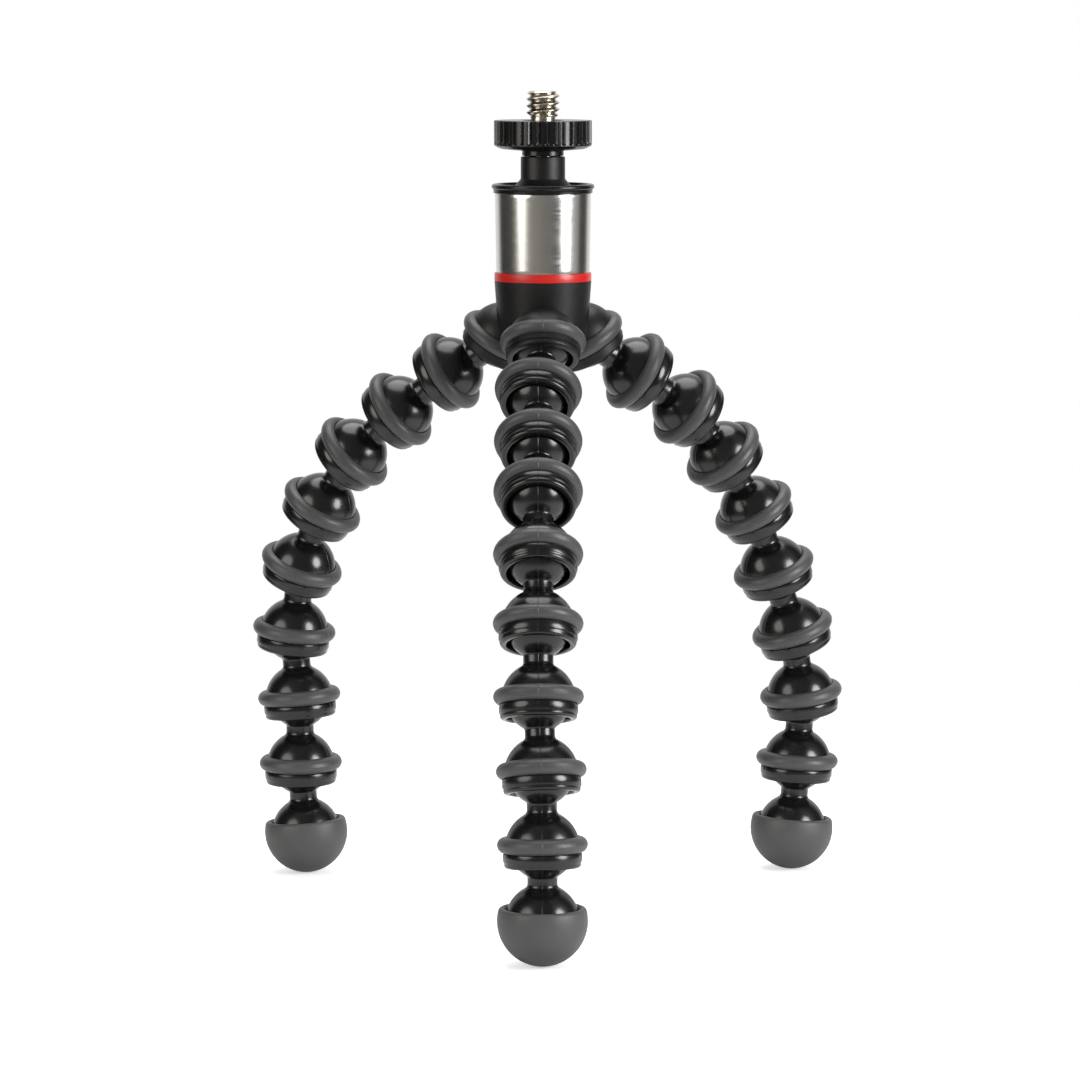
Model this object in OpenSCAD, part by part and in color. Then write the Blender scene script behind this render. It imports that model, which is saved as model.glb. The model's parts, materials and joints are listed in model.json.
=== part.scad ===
// Flexible leg tripod with a camera screw.
// Three legs of ball and socket links hang from a hub; a thumb wheel turns the screw on the neck.
// The frame's origin is on the floor under the neck axis, and +Z is up the camera screw.

/* [Leg links] */
// distance from one ball centre to the next along a leg
link_pitch = 13.4; // [13:0.1:15]
// ball at the top of each link
ball_d = 11.9; // [11.6:0.1:12.1]
// radial play of a ball in its socket
ball_play = 0.15; // [0.1:0.01:0.25]
// waist between a ball and the dome below it
neck_d = 5.5; // [4.8:0.1:5.7]
// fillet where the waist runs into the dome
neck_fillet = 0.9; // [0.4:0.1:1.1]
// fillet where the waist runs into the ball
ball_fillet = 0.6; // [0.3:0.1:0.8]
// plastic between a socket and the outside of its dome
socket_wall = 0.7; // [0.6:0.05:0.9]
// plastic left behind the groove that seats a grip ring
groove_wall = 0.45; // [0.35:0.05:0.5]
// how far the skirt below a grip stands out past the dome
skirt_step = 0.4; // [0.2:0.05:0.6]
// how far the skirt's lower tier is set back from its upper tier
tier_step = 0.2; // [0.1:0.05:0.3]
// lower edge of the skirt below the socket centre
skirt_drop = 3.7; // [3.5:0.1:3.9]
// roundness of the skirt's lower edge
skirt_round = 0.6; // [0.3:0.1:0.7]
// narrowest part of the mouth below the socket centre
throat_drop = 2.2; // [1.8:0.1:2.4]
// how much the mouth widens below its throat, on each side
mouth_flare = 0.1; // [0.05:0.05:0.3]

/* [Rubber] */
// how far a grip ring stands out past the dome
grip_proud = 1.45; // [1.2:0.05:1.6]
// height of a grip ring along the leg
grip_h = 3.0; // [2.6:0.1:3.2]
// height of a link's grip above the socket centre
grip_rise = 0.5; // [0.3:0.05:0.6]
// gap between rubber and the plastic that seats it
seat_gap = 0.05; // [0.03:0.01:0.08]
// rubber left outside the dome on a foot
shoe_wall = 1.4; // [1.2:0.05:1.6]
// height of the rim's bead centre above a foot's centre
shoe_rim = 1.75; // [1.2:0.05:2.2]

/* [Hub] */
// distance of the three hub sockets from the neck axis
socket_reach = 9.0; // [8.9:0.1:9.4]
// slope of a hub socket below the horizontal, in degrees
socket_tilt = 58; // [56:1:60]
// hub shoulder above the socket centres
hub_rise = 11.2; // [10.5:0.1:12]
// hub at its shoulder
hub_top_d = 18.6; // [18.2:0.1:19]
// hub level with its sockets
hub_low_d = 16.9; // [16.4:0.1:17.4]
// air between the hub and the grips on its sockets
grip_air = 0.3; // [0.2:0.05:0.4]

/* [Neck] */
// sleeve at its top
sleeve_top_d = 18.4; // [18.2:0.1:18.6]
// sleeve at its bottom
sleeve_low_d = 17.9; // [17.8:0.1:18.2]
// thinnest wall of the sleeve
sleeve_wall = 0.65; // [0.5:0.05:0.75]
// length of the sleeve
sleeve_len = 15.2; // [14:0.1:18]
// accent band
band_d = 18.6; // [18.2:0.1:19]
// height of the accent band
band_h = 1.6; // [1.2:0.05:2.2]
// gap between pieces that slide together by hand
slip_gap = 0.1; // [0.05:0.01:0.15]
// cap where it meets the sleeve
collar_d = 19.0; // [18.8:0.1:19.3]
// height of the collar
collar_h = 0.7; // [0.6:0.05:1.2]
// cap at its bead
flange_d = 19.7; // [19.5:0.1:20.2]
// height of the bead
flange_h = 1.05; // [0.9:0.05:1.4]
// depth of the dish in the cap
dish_depth = 0.6; // [0.4:0.05:0.7]
// wall of the rim round the dish
rim_w = 1.1; // [0.9:0.05:1.4]
// length of the cap's skirt inside the hub
plug_len = 4.0; // [3.5:0.1:5]
// wall of the cap's skirt
plug_wall = 1.3; // [1.1:0.05:1.4]
// flange that holds the post under the cap
post_flange_h = 1.5; // [1.2:0.1:2]

/* [Post and wheel] */
// round post between the cap and the wheel
post_d = 8.5; // [8.2:0.1:8.8]
// post where it leaves the cap
post_base_d = 11.1; // [10.8:0.1:11.4]
// height of the cone at the foot of the post
cone_h = 1.4; // [1:0.1:1.8]
// straight part of the post
post_h = 4.3; // [4:0.1:6]
// boss below the thumb wheel
boss_d = 8.0; // [7.6:0.1:8.1]
// height of the boss
boss_h = 0.95; // [0.8:0.05:1.3]
// gap between the turning pieces and the post along the axis
turn_gap = 0.15; // [0.1:0.01:0.2]
// thumb wheel
wheel_d = 18.7; // [18:0.1:20]
// height of the thumb wheel
wheel_h = 5.8; // [5.6:0.1:7]
// flutes round the thumb wheel
flute_count = 36; // [30:1:36]
// width of one flute
flute_w = 0.9; // [0.7:0.05:0.95]
// depth of one flute
flute_depth = 0.35; // [0.25:0.05:0.4]
// bevelled underside of the wheel
wheel_bevel = 1.1; // [1:0.05:1.4]
// recess round the screw in the top of the wheel
recess_depth = 0.5; // [0.3:0.05:0.7]

/* [Screw] */
// major diameter of the camera thread
thread_d = 6.35; // [6.35]
// pitch of the camera thread
thread_pitch = 1.27; // [1.27]
// depth of the thread
thread_depth = 0.75; // [0.7:0.01:0.78]
// turns of thread that show
thread_turns = 3; // [3:1:5]
// plain relief between the wheel and the thread
relief_h = 0.5; // [0.4:0.05:1]
// shank inside the post
shank_d = 4.0; // [3.8:0.1:4.2]
// radial play of the shank in the post
shank_play = 0.05; // [0.03:0.01:0.08]
// knurled collar that fixes the screw in the wheel
collet_d = 7.0; // [6.8:0.1:7.2]
// retaining clip under the post
clip_d = 5.4; // [5.2:0.1:5.6]
// thickness of the clip
clip_h = 0.6; // [0.5:0.05:0.8]

/* [Pose] */
// slope of each left link below the horizontal, hub to foot
left_slope = [32, 36, 41, 56, 66, 82, 95, 91, 95]; // [20:1:110]
// heading of each left link past the leg's own heading
left_turn = [8, 6, 5, -1, -9, -4, 0, 0, 0]; // [-15:1:15]
// slope of each right link below the horizontal, hub to foot
right_slope = [32, 34, 47, 57, 67, 70, 81, 94, 95]; // [20:1:110]
// heading of each right link past the leg's own heading
right_turn = [-8, -2, 4, 2, 7, 1, 0, 0, 0]; // [-15:1:15]
// slope of each front link below the horizontal, hub to foot
front_slope = [40, 40, 38, 53, 63, 73, 74, 84, 88]; // [20:1:110]
// heading of each front link past the leg's own heading
front_turn = [-5, 0, 0, 0, 0, 1, 8, 8, 0]; // [-15:1:15]

/* [Hidden] */
$fn = 96;
big = 60;
ball_r = ball_d / 2;
socket_r = ball_r + ball_play;
neck_r = neck_d / 2;
dome_r = socket_r + socket_wall;
groove_r = socket_r + groove_wall;
grip_r = dome_r + grip_proud;
bead_r = grip_h / 2;
bead_c = grip_r - bead_r;
groove_h = grip_h + 2 * seat_gap;
skirt_r = dome_r + skirt_step;
tier_r = skirt_r - tier_step;
tier_drop = (bead_r + skirt_drop) / 2;
throat_r = sqrt(socket_r * socket_r - throat_drop * throat_drop);
mouth_r = throat_r + mouth_flare;
shoe_in = dome_r + seat_gap;
foot_r = shoe_in + shoe_wall;
fillet_lap = 0.03;
fillet_x = neck_r + neck_fillet;
fillet_y = sqrt(pow(dome_r + neck_fillet, 2) - fillet_x * fillet_x);
fillet_k = dome_r / (dome_r + neck_fillet);
under_x = neck_r + ball_fillet;
under_y = sqrt(pow(ball_r + ball_fillet, 2) - under_x * under_x);
under_k = ball_r / (ball_r + ball_fillet);

// a leg is its heading, the slopes of its links and their turns
left_leg = [150, left_slope, left_turn];
right_leg = [30, right_slope, right_turn];
front_leg = [-90, front_slope, front_turn];
legs = [left_leg, right_leg, front_leg];

function run_down(slopes, i = 0) = i == len(slopes) ? 0 : sin(slopes[i]) + run_down(slopes, i + 1);
socket_z = foot_r + link_pitch * max([for (leg = legs) run_down(leg[1])]);
function heading(leg, k) = leg[0] + leg[2][k - 1];
function link_dir(leg, k) = [
    cos(leg[1][k - 1]) * cos(heading(leg, k)),
    cos(leg[1][k - 1]) * sin(heading(leg, k)),
    -sin(leg[1][k - 1])
];
function hub_ball(leg) = [socket_reach * cos(leg[0]), socket_reach * sin(leg[0]), socket_z];
function ball_at(leg, k) = k == 1 ? hub_ball(leg) : ball_at(leg, k - 1) + link_pitch * link_dir(leg, k - 1);

// heights up the neck
hub_top = socket_z + hub_rise;
sleeve_low = hub_top + band_h;
sleeve_top = sleeve_low + sleeve_len;
sleeve_in = sleeve_low_d / 2 - sleeve_wall;
spigot_r = sleeve_in - slip_gap;
spigot_top = sleeve_top - 2 * slip_gap;
hole_r = post_base_d / 2 + slip_gap;
plug_r = hole_r + plug_wall;
plug_low = sleeve_top - plug_len;
bore_r = plug_r + slip_gap;
flange_low = plug_low - post_flange_h;
cap_top = sleeve_top + collar_h + flange_h;
dish_z = cap_top - dish_depth;
cone_z = dish_z + slip_gap;
post_z = cone_z + cone_h;
post_top = post_z + post_h;
boss_low = post_top + turn_gap;
wheel_low = boss_low + boss_h;
wheel_top = wheel_low + wheel_h;
recess_z = wheel_top - recess_depth;
wheel_r = wheel_d / 2;
collet_r = collet_d / 2;
collet_low = wheel_low + wheel_bevel;
shank_r = shank_d / 2;
shank_bore = shank_r + shank_play;
clip_r = clip_d / 2;
clip_well_r = clip_r + 2 * slip_gap;
clip_well = clip_h + turn_gap + 2 * slip_gap;
clip_top = flange_low + clip_well - turn_gap;
clip_low = clip_top - clip_h;
clip_in = shank_r - 0.4;
shank_low = clip_low - 0.8;
pocket_r = clip_well_r + 1.2;
pocket_low = hub_top + 2;
thread_r = thread_d / 2;
root_r = thread_r - thread_depth;
crest_w = thread_pitch / 6;
flank_h = (thread_pitch - crest_w) / 2;
thread_low = wheel_top + relief_h;
screw_top = thread_low + thread_turns * thread_pitch + crest_w + 2 * flank_h;

black_gloss = [0.03, 0.03, 0.032];
black_satin = [0.06, 0.06, 0.062];
rubber_grey = [0.2, 0.2, 0.205];
steel = [0.74, 0.74, 0.72];
signal_red = [0.82, 0.12, 0.1];

// puts a piece drawn round a hanging link, ball centre at the origin, on link k of a leg
module on_link(leg, k) {
    translate(ball_at(leg, k))
        rotate([0, leg[1][k - 1] - 90, heading(leg, k)])
            children();
}

// puts a piece drawn round a socket centre on the hub socket of a leg
module on_hub(leg) {
    translate(hub_ball(leg))
        rotate([0, socket_tilt - 90, leg[0]])
            children();
}

// keeps the half of a drawing that a turning profile needs
module right_half() {
    intersection() {
        children();
        translate([0, -big])
            square([big, 2 * big]);
    }
}

// dome over a socket, flat side at the socket centre
module dome_half() {
    intersection() {
        circle(r = dome_r);
        translate([-big, 0])
            square([2 * big, big]);
    }
}

// two tier skirt below a socket centre, with a rounded lower edge
module skirt_half() {
    translate([0, -tier_drop])
        square([skirt_r, tier_drop]);
    translate([0, skirt_round - skirt_drop])
        square([tier_r, skirt_drop - skirt_round]);
    translate([0, -skirt_drop])
        square([tier_r - skirt_round, skirt_drop]);
    translate([tier_r - skirt_round, skirt_round - skirt_drop])
        circle(r = skirt_round);
}

// what is taken out of a link's dome and skirt: socket, flared mouth and grip groove
module socket_cut() {
    circle(r = socket_r);
    polygon([
        [0, 0],
        [throat_r, -throat_drop],
        [mouth_r, -skirt_drop],
        [mouth_r, -skirt_drop - 1],
        [0, -skirt_drop - 1]
    ]);
    translate([groove_r, grip_rise - groove_h / 2])
        square([grip_r, groove_h]);
}

// waist of a link and the fillet at its foot, drawn round the dome centre
module neck_blend() {
    difference() {
        polygon([
            [0, link_pitch],
            [fillet_x, link_pitch],
            [fillet_x, fillet_y],
            [fillet_k * fillet_x, fillet_k * fillet_y],
            [0, fillet_k * fillet_y]
        ]);
        translate([neck_r, fillet_y])
            square([big, link_pitch]);
        translate([fillet_x, fillet_y])
            circle(r = neck_fillet - fillet_lap);
    }
}

// fillet under a ball, drawn round the ball centre
module under_blend() {
    difference() {
        polygon([
            [0, -under_k * under_y],
            [under_k * under_x, -under_k * under_y],
            [under_x, -under_y],
            [0, -under_y]
        ]);
        translate([under_x, -under_y])
            circle(r = ball_fillet - fillet_lap);
    }
}

// ball and waist of a link, ball centre at the origin
module ball_and_neck() {
    circle(r = ball_r);
    under_blend();
    translate([0, -link_pitch])
        neck_blend();
}

// bead with a flat inside face, drawn round a socket centre
module grip_ring() {
    rotate_extrude()
        intersection() {
            translate([bead_c, 0])
                circle(r = bead_r);
            translate([groove_r + seat_gap, -grip_h])
                square([grip_r, 2 * grip_h]);
        }
}

// one moulded link: ball, waist, dome, grip groove and skirt
module leg_link(leg, k) {
    color(black_gloss)
        on_link(leg, k)
            difference() {
                union() {
                    rotate_extrude()
                        right_half() {
                            ball_and_neck();
                            translate([0, -link_pitch])
                                dome_half();
                        }
                    translate([0, 0, -link_pitch])
                        rotate_extrude()
                            right_half()
                                skirt_half();
                }
                translate([0, 0, -link_pitch])
                    rotate_extrude()
                        right_half()
                            socket_cut();
            }
}

// rubber ring in the groove of a link
module leg_grip(leg, k) {
    color(rubber_grey)
        on_link(leg, k)
            translate([0, 0, grip_rise - link_pitch])
                grip_ring();
}

// last link of a leg: a plain ball ended stem in a bonded rubber shoe
module leg_foot(leg) {
    rim_c = (shoe_in + foot_r) / 2;
    rim_x = sqrt(rim_c * rim_c - shoe_rim * shoe_rim);
    color(black_gloss)
        on_link(leg, 9)
            rotate_extrude()
                right_half() {
                    ball_and_neck();
                    translate([0, -link_pitch])
                        circle(r = dome_r);
                }
    color(rubber_grey)
        on_link(leg, 9)
            translate([0, 0, -link_pitch])
                rotate_extrude()
                    right_half()
                        union() {
                            difference() {
                                circle(r = foot_r);
                                circle(r = shoe_in);
                                polygon([[0, 0], [3 * rim_x, 3 * shoe_rim], [3 * rim_x, big], [0, big]]);
                            }
                            translate([rim_x, shoe_rim])
                                circle(r = shoe_wall / 2);
                        }
}

// underside of the hub core at a distance from the axis, clear of the grips
function core_floor(x) = (cos(socket_tilt) * (x / 2 - socket_reach) + bead_r + grip_air) / sin(socket_tilt);

// one moulding: tapered core, spigot inside the sleeve and three sockets
module hub_body() {
    color(black_satin)
        difference() {
            union() {
                difference() {
                    rotate_extrude()
                        polygon([
                            [0, socket_z + core_floor(0)],
                            [hub_low_d / 2, socket_z + core_floor(hub_low_d / 2)],
                            [hub_top_d / 2, hub_top],
                            [spigot_r, hub_top],
                            [spigot_r, spigot_top],
                            [0, spigot_top]
                        ]);
                    for (leg = legs)
                        on_hub(leg)
                            translate([0, 0, -2 * big + bead_r + grip_air])
                                cylinder(r = grip_r + grip_air, h = 2 * big);
                }
                for (leg = legs)
                    on_hub(leg)
                        rotate_extrude()
                            right_half()
                                difference() {
                                    union() {
                                        dome_half();
                                        skirt_half();
                                    }
                                    translate([groove_r, -groove_h / 2])
                                        square([grip_r, groove_h]);
                                }
            }
            for (leg = legs)
                on_hub(leg)
                    rotate_extrude()
                        right_half() {
                            circle(r = socket_r);
                            polygon([
                                [0, 0],
                                [throat_r, -throat_drop],
                                [mouth_r, -skirt_drop],
                                [mouth_r, -skirt_drop - 1],
                                [0, -skirt_drop - 1]
                            ]);
                        }
            translate([0, 0, flange_low])
                cylinder(r = bore_r, h = big);
            translate([0, 0, pocket_low])
                cylinder(r = pocket_r, h = big);
        }
}

// the three rings on the hub's own sockets
module socket_grips() {
    color(rubber_grey)
        for (leg = legs)
            on_hub(leg)
                grip_ring();
}

// thin steel tube with a slight taper
module steel_sleeve() {
    color(steel)
        rotate_extrude()
            polygon([
                [sleeve_in, sleeve_low],
                [sleeve_low_d / 2, sleeve_low],
                [sleeve_top_d / 2, sleeve_top],
                [sleeve_in, sleeve_top]
            ]);
}

// coloured ring between the hub shoulder and the sleeve
module accent_band() {
    color(signal_red)
        translate([0, 0, hub_top])
            difference() {
                cylinder(d = band_d, h = band_h);
                translate([0, 0, -1])
                    cylinder(r = sleeve_in, h = band_h + 2);
            }
}

// cap that closes the sleeve and holds the post's flange down with its skirt
module head_cap() {
    bead = flange_h / 2;
    color(black_satin)
        rotate_extrude() {
            translate([hole_r, plug_low])
                square([plug_wall, dish_z - plug_low]);
            translate([hole_r, sleeve_top])
                square([collar_d / 2 - hole_r, dish_z - sleeve_top]);
            translate([flange_d / 2 - rim_w, sleeve_top])
                square([rim_w - bead, collar_h + flange_h]);
            translate([flange_d / 2 - bead, sleeve_top + collar_h + bead])
                circle(r = bead);
        }
}

// flanged post with a bore for the shank and a well for the clip
module head_post() {
    color(black_satin)
        difference() {
            rotate_extrude()
                polygon([
                    [0, flange_low],
                    [plug_r, flange_low],
                    [plug_r, plug_low],
                    [post_base_d / 2, plug_low],
                    [post_base_d / 2, cone_z],
                    [post_d / 2, post_z],
                    [post_d / 2, post_top],
                    [0, post_top]
                ]);
            translate([0, 0, flange_low - 1])
                cylinder(r = shank_bore, h = big);
            translate([0, 0, flange_low - 1])
                cylinder(r = clip_well_r, h = clip_well + 1);
        }
}

// fluted wheel with a bevelled underside and a boss that runs on the post
module thumb_wheel() {
    color(black_satin)
        difference() {
            rotate_extrude()
                polygon([
                    [0, boss_low],
                    [boss_d / 2, boss_low],
                    [boss_d / 2, wheel_low],
                    [wheel_r - 1.4, wheel_low + 0.35],
                    [wheel_r - 0.45, wheel_low + 0.75],
                    [wheel_r, wheel_low + wheel_bevel],
                    [wheel_r, wheel_top - 0.15],
                    [wheel_r - 0.15, wheel_top],
                    [0, wheel_top]
                ]);
            for (i = [0 : flute_count - 1])
                rotate([0, 0, i * 360 / flute_count])
                    translate([wheel_r - flute_depth + flute_w / 2, 0, collet_low - 0.2])
                        cylinder(d = flute_w, h = wheel_h, $fn = 24);
            translate([0, 0, recess_z])
                cylinder(r = collet_r + 0.6, h = big);
            translate([0, 0, collet_low])
                cylinder(r = collet_r + seat_gap, h = big);
            translate([0, 0, boss_low - 1])
                cylinder(r = shank_r + seat_gap, h = big);
        }
}

// camera screw: grooved thread, relief, knurled collar and plain shank with a clip groove
module mounting_screw() {
    color(steel)
        rotate_extrude()
            polygon(concat(
                [
                    [0, shank_low],
                    [shank_r - 0.2, shank_low],
                    [shank_r, shank_low + 0.2],
                    [shank_r, clip_low - seat_gap],
                    [clip_in - seat_gap, clip_low - seat_gap],
                    [clip_in - seat_gap, clip_top + seat_gap],
                    [shank_r, clip_top + seat_gap],
                    [shank_r, collet_low],
                    [collet_r, collet_low],
                    [collet_r, recess_z],
                    [root_r, recess_z]
                ],
                [
                    for (i = [0 : thread_turns])
                        for (p = [
                            [root_r, 0],
                            [thread_r, flank_h],
                            [thread_r, flank_h + crest_w],
                            [root_r, 2 * flank_h + crest_w]
                        ])
                            if (!(i > 0 && p[1] == 0))
                                [p[0], thread_low + i * thread_pitch + p[1]]
                ],
                [[0, screw_top]]
            ));
}

// spring clip in the groove of the shank, under the post
module retaining_clip() {
    color(steel)
        translate([0, 0, clip_low])
            difference() {
                cylinder(r = clip_r, h = clip_h);
                translate([0, 0, -1])
                    cylinder(r = clip_in, h = clip_h + 2);
                translate([0, -clip_in * 0.8, -1])
                    cube([big, 1.6 * clip_in, clip_h + 2]);
            }
}

hub_body();
socket_grips();
steel_sleeve();
accent_band();
head_cap();
head_post();
thumb_wheel();
mounting_screw();
retaining_clip();
leg_link(left_leg, 1);  // left_link_1
leg_link(left_leg, 2);  // left_link_2
leg_link(left_leg, 3);  // left_link_3
leg_link(left_leg, 4);  // left_link_4
leg_link(left_leg, 5);  // left_link_5
leg_link(left_leg, 6);  // left_link_6
leg_link(left_leg, 7);  // left_link_7
leg_link(left_leg, 8);  // left_link_8
leg_grip(left_leg, 1);  // left_grip_1
leg_grip(left_leg, 2);  // left_grip_2
leg_grip(left_leg, 3);  // left_grip_3
leg_grip(left_leg, 4);  // left_grip_4
leg_grip(left_leg, 5);  // left_grip_5
leg_grip(left_leg, 6);  // left_grip_6
leg_grip(left_leg, 7);  // left_grip_7
leg_grip(left_leg, 8);  // left_grip_8
leg_foot(left_leg);  // left_foot
leg_link(right_leg, 1);  // right_link_1
leg_link(right_leg, 2);  // right_link_2
leg_link(right_leg, 3);  // right_link_3
leg_link(right_leg, 4);  // right_link_4
leg_link(right_leg, 5);  // right_link_5
leg_link(right_leg, 6);  // right_link_6
leg_link(right_leg, 7);  // right_link_7
leg_link(right_leg, 8);  // right_link_8
leg_grip(right_leg, 1);  // right_grip_1
leg_grip(right_leg, 2);  // right_grip_2
leg_grip(right_leg, 3);  // right_grip_3
leg_grip(right_leg, 4);  // right_grip_4
leg_grip(right_leg, 5);  // right_grip_5
leg_grip(right_leg, 6);  // right_grip_6
leg_grip(right_leg, 7);  // right_grip_7
leg_grip(right_leg, 8);  // right_grip_8
leg_foot(right_leg);  // right_foot
leg_link(front_leg, 1);  // front_link_1
leg_link(front_leg, 2);  // front_link_2
leg_link(front_leg, 3);  // front_link_3
leg_link(front_leg, 4);  // front_link_4
leg_link(front_leg, 5);  // front_link_5
leg_link(front_leg, 6);  // front_link_6
leg_link(front_leg, 7);  // front_link_7
leg_link(front_leg, 8);  // front_link_8
leg_grip(front_leg, 1);  // front_grip_1
leg_grip(front_leg, 2);  // front_grip_2
leg_grip(front_leg, 3);  // front_grip_3
leg_grip(front_leg, 4);  // front_grip_4
leg_grip(front_leg, 5);  // front_grip_5
leg_grip(front_leg, 6);  // front_grip_6
leg_grip(front_leg, 7);  // front_grip_7
leg_grip(front_leg, 8);  // front_grip_8
leg_foot(front_leg);  // front_foot
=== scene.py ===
"""Looks of a flexible leg tripod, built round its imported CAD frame.

Every piece is worked out as whole numpy arrays, in millimetres round its own axis, and is then
placed in the frame in metres. Turned pieces are a profile of (radius, height) points carried
round an axis; the fluted wheel and the screw thread let the radius change with the angle.
"""
import json
import logging
import math
from dataclasses import dataclass, field
from enum import Enum
from typing import ClassVar

import bpy
import numpy as np
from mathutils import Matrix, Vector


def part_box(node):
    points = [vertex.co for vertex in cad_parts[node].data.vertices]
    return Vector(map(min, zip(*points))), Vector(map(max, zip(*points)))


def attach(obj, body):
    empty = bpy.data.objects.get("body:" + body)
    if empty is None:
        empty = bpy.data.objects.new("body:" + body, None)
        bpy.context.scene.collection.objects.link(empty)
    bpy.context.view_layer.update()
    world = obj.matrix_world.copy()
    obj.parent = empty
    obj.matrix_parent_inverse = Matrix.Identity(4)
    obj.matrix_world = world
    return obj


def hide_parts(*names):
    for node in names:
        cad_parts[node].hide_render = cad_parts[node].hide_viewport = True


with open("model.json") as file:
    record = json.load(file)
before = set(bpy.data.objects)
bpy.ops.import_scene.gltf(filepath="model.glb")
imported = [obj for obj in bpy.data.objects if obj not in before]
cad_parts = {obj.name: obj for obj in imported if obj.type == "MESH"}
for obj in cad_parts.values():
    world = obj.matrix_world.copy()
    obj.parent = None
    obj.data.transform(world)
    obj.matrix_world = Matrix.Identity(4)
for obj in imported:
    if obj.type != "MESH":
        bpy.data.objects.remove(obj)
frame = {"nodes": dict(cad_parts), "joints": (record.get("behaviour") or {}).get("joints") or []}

LOG = logging.getLogger("tripod")
MM = 0.001
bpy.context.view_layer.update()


class Leg(Enum):
    """The three legs, by the name their nodes and joints start with."""

    LEFT = "left"
    RIGHT = "right"
    FRONT = "front"


class Grain(Enum):
    """How the fine surface texture of a finish runs."""

    EVEN = "even"
    ROUND = "round"


@dataclass(frozen=True)
class Place:
    """Where a turned piece sits: its origin in metres and its three axes as matrix columns."""

    origin: np.ndarray
    axes: np.ndarray

    def put(self, local: np.ndarray) -> np.ndarray:
        """Takes points in millimetres round the piece's axis to the frame, in metres."""
        return self.origin + (local * MM) @ self.axes.T


UPRIGHT = Place(np.zeros(3), np.eye(3))


@dataclass
class Surface:
    """A closed surface as arrays: points, four and three sided faces, and their UVs."""

    points: np.ndarray
    quads: np.ndarray
    quad_uv: np.ndarray
    tris: np.ndarray
    tri_uv: np.ndarray

    def to_object(self, name: str, sharp_deg: float = 38.0) -> bpy.types.Object:
        """Puts the arrays into a mesh object at the origin.

        Args:
            name: Name of the object and its mesh.
            sharp_deg: Edges that turn more than this stay crisp.

        Returns:
            The new object, linked to the scene.
        """
        mesh = bpy.data.meshes.new(name)
        loops = np.concatenate([self.quads.ravel(), self.tris.ravel()]).astype(np.int32)
        totals = np.concatenate([np.full(len(self.quads), 4), np.full(len(self.tris), 3)]).astype(np.int32)
        starts = np.concatenate([[0], np.cumsum(totals)[:-1]]).astype(np.int32)
        mesh.vertices.add(len(self.points))
        mesh.vertices.foreach_set("co", self.points.astype(np.float32).ravel())
        mesh.loops.add(len(loops))
        mesh.loops.foreach_set("vertex_index", loops)
        mesh.polygons.add(len(totals))
        mesh.polygons.foreach_set("loop_start", starts)
        mesh.polygons.foreach_set("loop_total", totals)
        mesh.polygons.foreach_set("use_smooth", np.ones(len(totals), dtype=bool))
        uv = np.concatenate([self.quad_uv.reshape(-1, 2), self.tri_uv.reshape(-1, 2)])
        layer = mesh.uv_layers.new(name="wrap")
        layer.data.foreach_set("uv", uv.astype(np.float32).ravel())
        mesh.update(calc_edges=True)
        mesh.validate()
        mesh.set_sharp_from_angle(angle=math.radians(sharp_deg))
        piece = bpy.data.objects.new(name, mesh)
        bpy.context.scene.collection.objects.link(piece)
        return piece


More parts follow.
